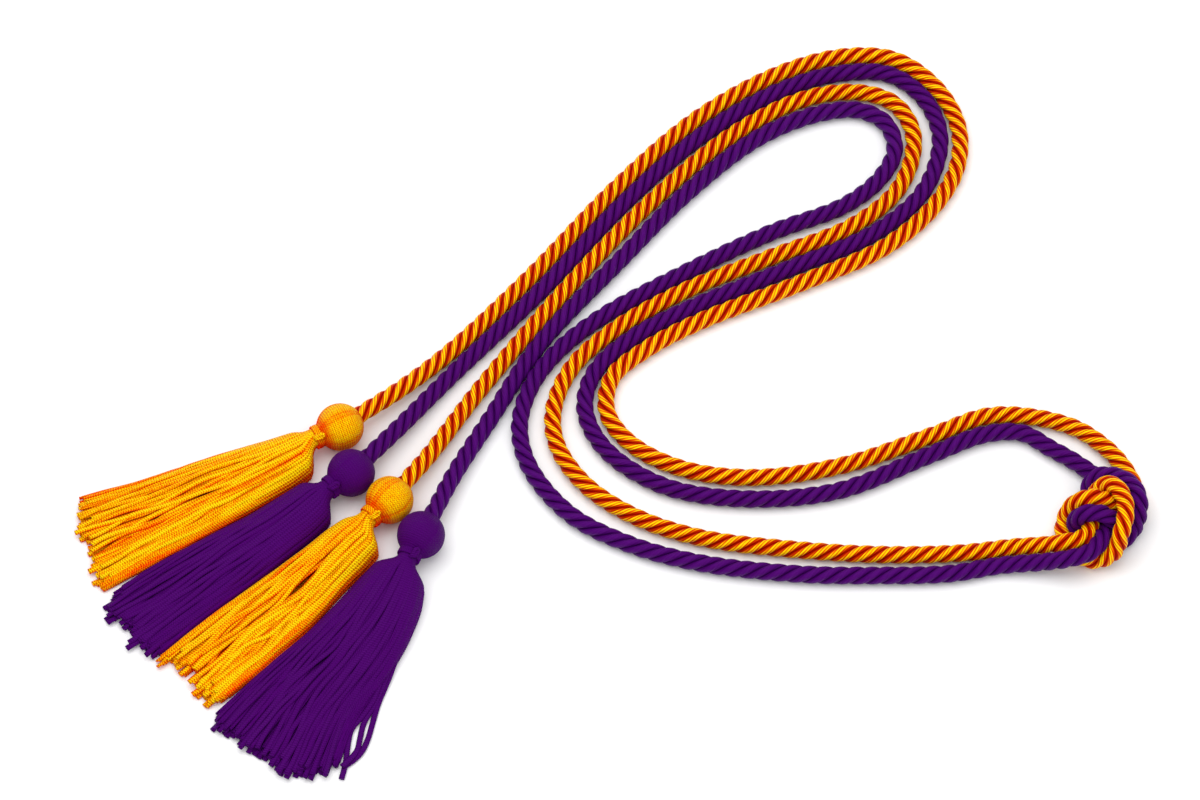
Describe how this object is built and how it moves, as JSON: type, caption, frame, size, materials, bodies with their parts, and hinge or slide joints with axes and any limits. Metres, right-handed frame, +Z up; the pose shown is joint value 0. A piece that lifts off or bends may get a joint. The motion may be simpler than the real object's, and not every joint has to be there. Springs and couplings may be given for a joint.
{
  "type": "honor cord",
  "caption": "Long twisted rope cords in gold and purple, laid side by side and knotted together at the middle, with a ball-headed tassel at every end.",
  "frame": {"origin": "on the surface that the cord lies on, under the middle of its bounding box", "axes": "+Z up from the surface; +X along the longest side, from the tassels at -X to the knot at +X; +Y from the lowest tassel towards the rounded end of the upper loop"},
  "size_m": [0.4093, 0.3168, 0.0203],
  "materials": {
    "gold_satin": "satin rayon plies, twisted to the left",
    "purple_satin": "satin rayon plies, twisted to the left",
    "gold_strand": "knitted rayon strand",
    "purple_strand": "knitted rayon strand"
  },
  "bodies": {
    "root": {"gold_cord": "gold_satin", "purple_cord": "purple_satin", "head_1": "gold_strand", "binding_1": "gold_strand", "skirt_1": "gold_strand", "head_2": "purple_strand", "binding_2": "purple_strand", "skirt_2": "purple_strand", "head_3": "gold_strand", "binding_3": "gold_strand", "skirt_3": "gold_strand", "head_4": "purple_strand", "binding_4": "purple_strand", "skirt_4": "purple_strand"}
  },
  "joints": []
}
